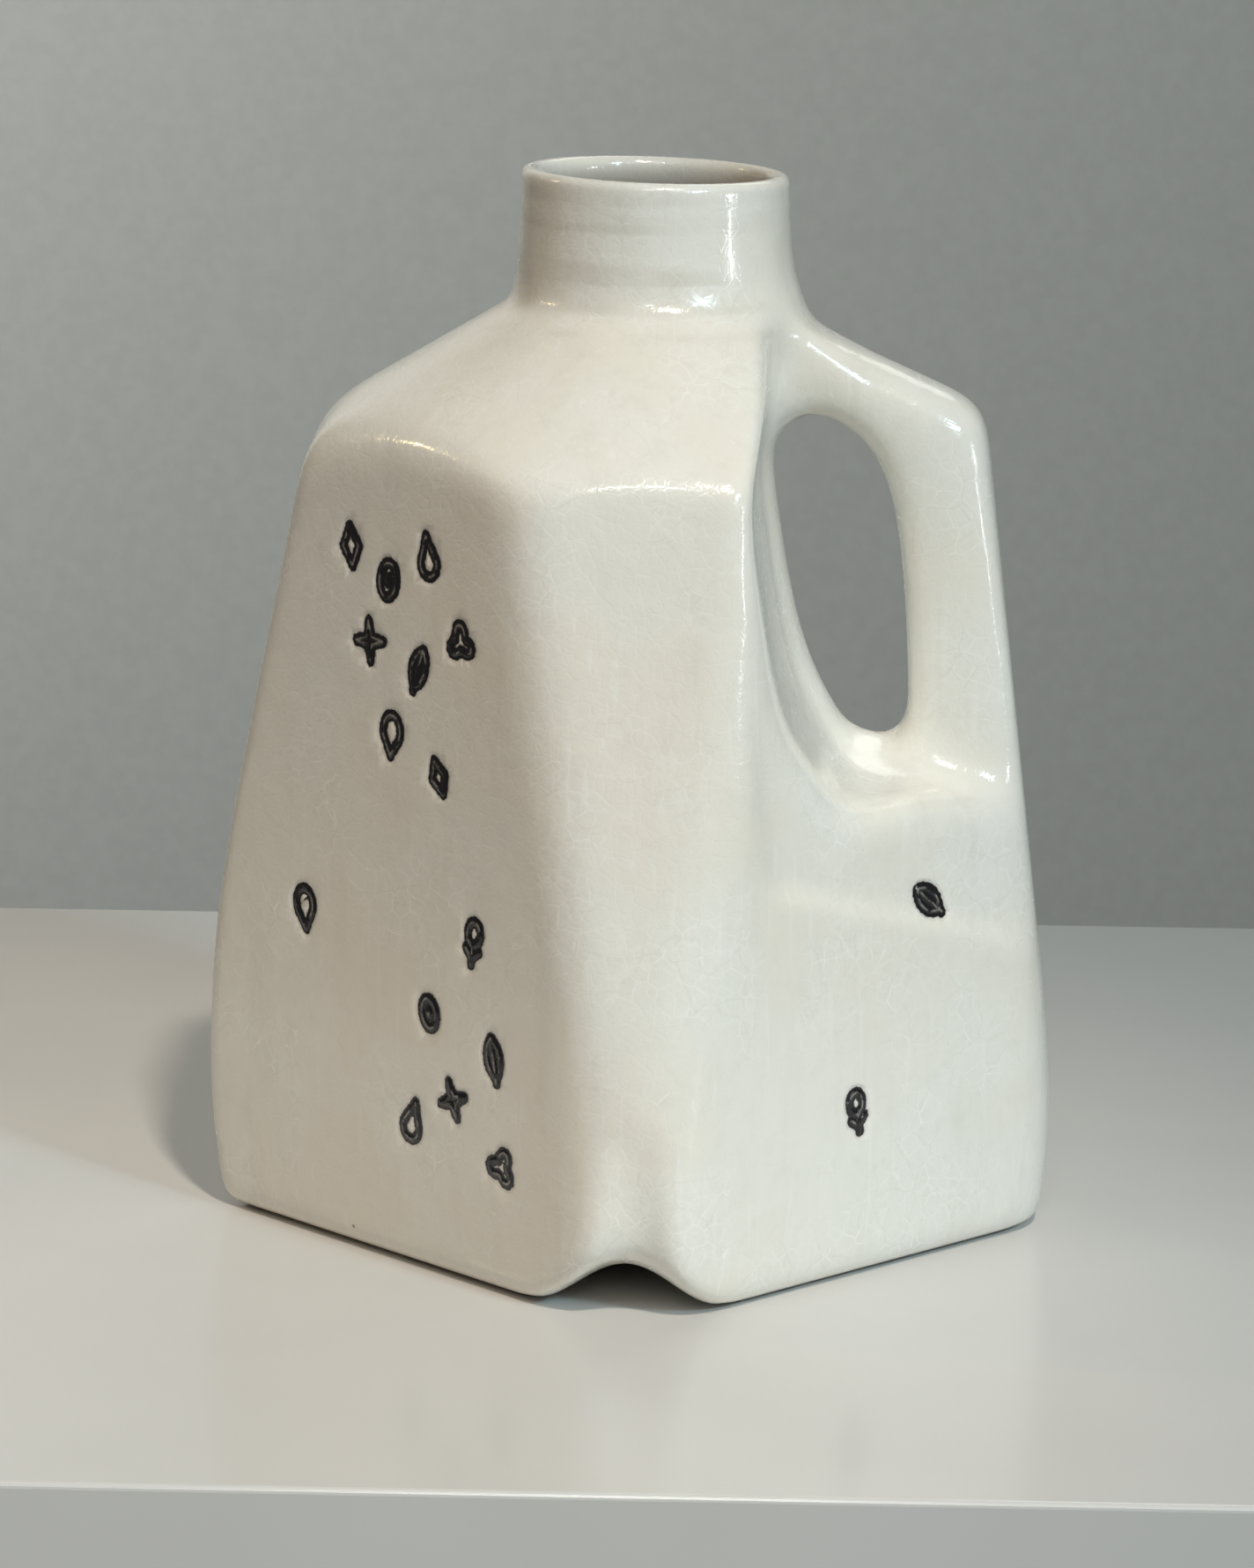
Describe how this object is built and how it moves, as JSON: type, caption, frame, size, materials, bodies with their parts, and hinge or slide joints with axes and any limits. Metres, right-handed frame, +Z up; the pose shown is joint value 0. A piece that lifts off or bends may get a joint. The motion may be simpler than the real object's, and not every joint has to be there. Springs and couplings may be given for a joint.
{
  "type": "milk jug",
  "caption": "White porcelain milk jug with a four-sided body, a handle moulded into one corner, sloping shoulders, a short round open neck and notched base corners",
  "frame": {"origin": "middle of the footprint, on the surface the jug stands on", "axes": "+Z up through the neck, +X toward the handle corner, the two notched corners toward -Y and +Y"},
  "size_m": [0.1755, 0.169, 0.22],
  "materials": {
    "porcelain": "glossy off-white glaze with fine crackle"
  },
  "bodies": {
    "root": {"jug": "porcelain"}
  },
  "joints": []
}
